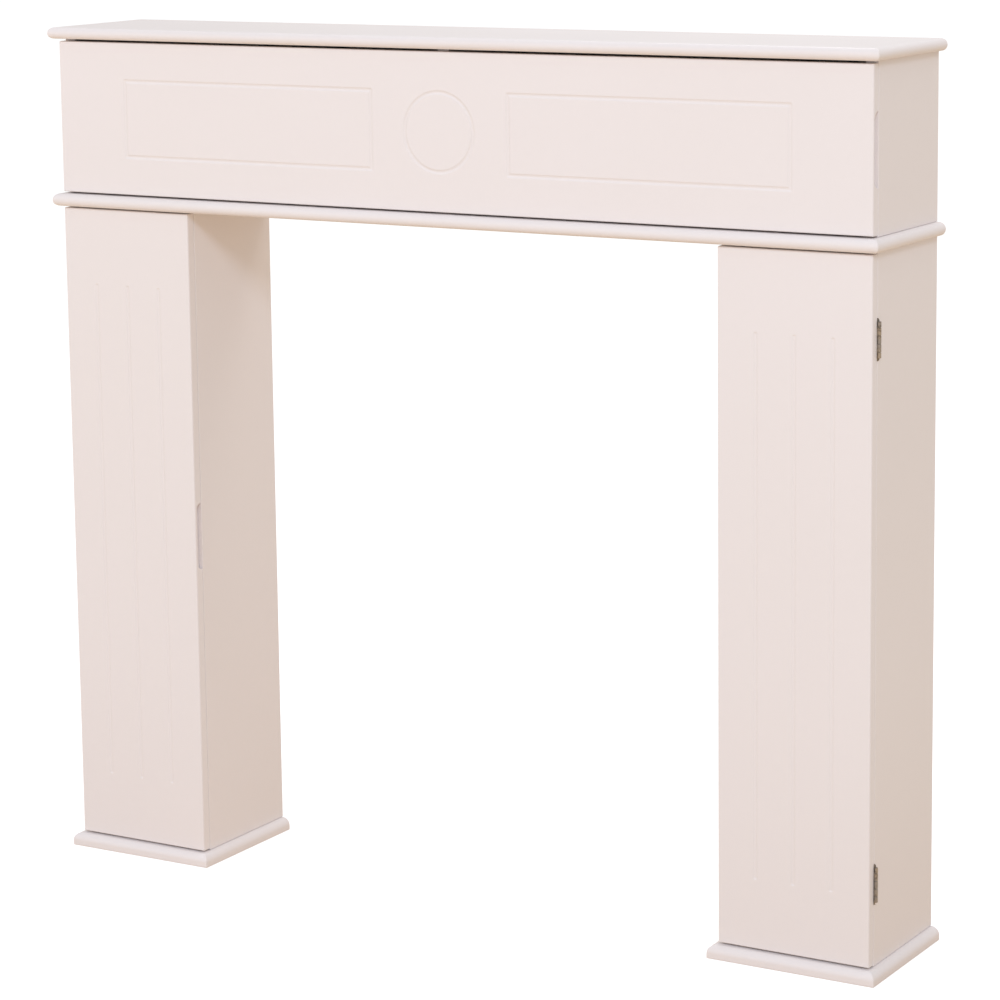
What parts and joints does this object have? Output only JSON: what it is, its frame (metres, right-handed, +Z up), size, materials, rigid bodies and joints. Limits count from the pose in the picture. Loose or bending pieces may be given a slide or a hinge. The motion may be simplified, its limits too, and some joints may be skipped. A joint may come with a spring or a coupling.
{
  "type": "storage fireplace surround",
  "caption": "Free-standing painted fireplace surround with fluted cupboard pillars and a long mantel box, each closed by a hinged slab door under moulded boards.",
  "frame": {"origin": "on the floor, in the middle of the overall width and depth", "axes": "+Z up; -Y is the front, where the doors are; +X is to the right of someone facing the front"},
  "size_m": [1.07, 0.178, 1],
  "materials": {
    "painted_board": "warm white satin paint sprayed on smooth fibreboard",
    "inside_board": "the same paint in a thinner coat on shelves and divider",
    "back_sheet": "thin brown hardboard, smooth face",
    "hinge_metal": "dull antique brass plate, worn on the knuckles",
    "catch_plastic": "moulded white plastic",
    "magnet": "dark magnet with ground pole faces",
    "zinc_plate": "bright zinc plated steel",
    "beech": "bare fluted beech dowel"
  },
  "bodies": {
    "carcass": {"left_door_catch_case": "catch_plastic", "left_door_catch_magnet": "magnet", "left_door_lower_hinge_frame_leaf": "hinge_metal", "left_door_lower_hinge_pin": "hinge_metal", "left_door_upper_hinge_frame_leaf": "hinge_metal", "left_door_upper_hinge_pin": "hinge_metal", "left_inner_side": "painted_board", "left_outer_side": "painted_board", "left_pillar_back": "back_sheet", "left_pillar_dowel_front": "beech", "left_pillar_dowel_rear": "beech", "left_pillar_screw_front": "zinc_plate", "left_pillar_screw_rear": "zinc_plate", "left_plinth": "painted_board", "left_shelf_lower": "inside_board", "left_shelf_middle": "inside_board", "left_shelf_upper": "inside_board", "mantel_back": "back_sheet", "mantel_divider": "inside_board", "mantel_door_catch_case": "catch_plastic", "mantel_door_catch_magnet": "magnet", "mantel_door_lower_hinge_frame_leaf": "hinge_metal", "mantel_door_lower_hinge_pin": "hinge_metal", "mantel_door_upper_hinge_frame_leaf": "hinge_metal", "mantel_door_upper_hinge_pin": "hinge_metal", "mantel_left_end": "painted_board", "mantel_right_end": "painted_board", "middle_board": "painted_board", "right_door_catch_case": "catch_plastic", "right_door_catch_magnet": "magnet", "right_door_lower_hinge_frame_leaf": "hinge_metal", "right_door_lower_hinge_pin": "hinge_metal", "right_door_upper_hinge_frame_leaf": "hinge_metal", "right_door_upper_hinge_pin": "hinge_metal", "right_inner_side": "painted_board", "right_outer_side": "painted_board", "right_pillar_back": "back_sheet", "right_pillar_dowel_front": "beech", "right_pillar_dowel_rear": "beech", "right_pillar_screw_front": "zinc_plate", "right_pillar_screw_rear": "zinc_plate", "right_plinth": "painted_board", "right_shelf_lower": "inside_board", "right_shelf_middle": "inside_board", "right_shelf_upper": "inside_board", "top_board": "painted_board"},
    "mantel_door": {"mantel_door": "painted_board", "mantel_door_lower_hinge_door_leaf": "hinge_metal", "mantel_door_strike_plate": "zinc_plate", "mantel_door_upper_hinge_door_leaf": "hinge_metal"},
    "left_door": {"left_door": "painted_board", "left_door_lower_hinge_door_leaf": "hinge_metal", "left_door_strike_plate": "zinc_plate", "left_door_upper_hinge_door_leaf": "hinge_metal"},
    "right_door": {"right_door": "painted_board", "right_door_lower_hinge_door_leaf": "hinge_metal", "right_door_strike_plate": "zinc_plate", "right_door_upper_hinge_door_leaf": "hinge_metal"}
  },
  "joints": [
    {"name": "mantel_door_hinge", "type": "hinge", "parent": "carcass", "child": "mantel_door", "pos_m": [-0.5273, -0.06675, 0.89425], "axis": [0, 0, -1], "range_deg": [0, 180]},
    {"name": "left_door_hinge", "type": "hinge", "parent": "carcass", "child": "left_door", "pos_m": [-0.5273, -0.06675, 0.4015], "axis": [0, 0, -1], "range_deg": [0, 180]},
    {"name": "right_door_hinge", "type": "hinge", "parent": "carcass", "child": "right_door", "pos_m": [0.5273, -0.06675, 0.4015], "axis": [0, 0, 1], "range_deg": [0, 180]}
  ]
}
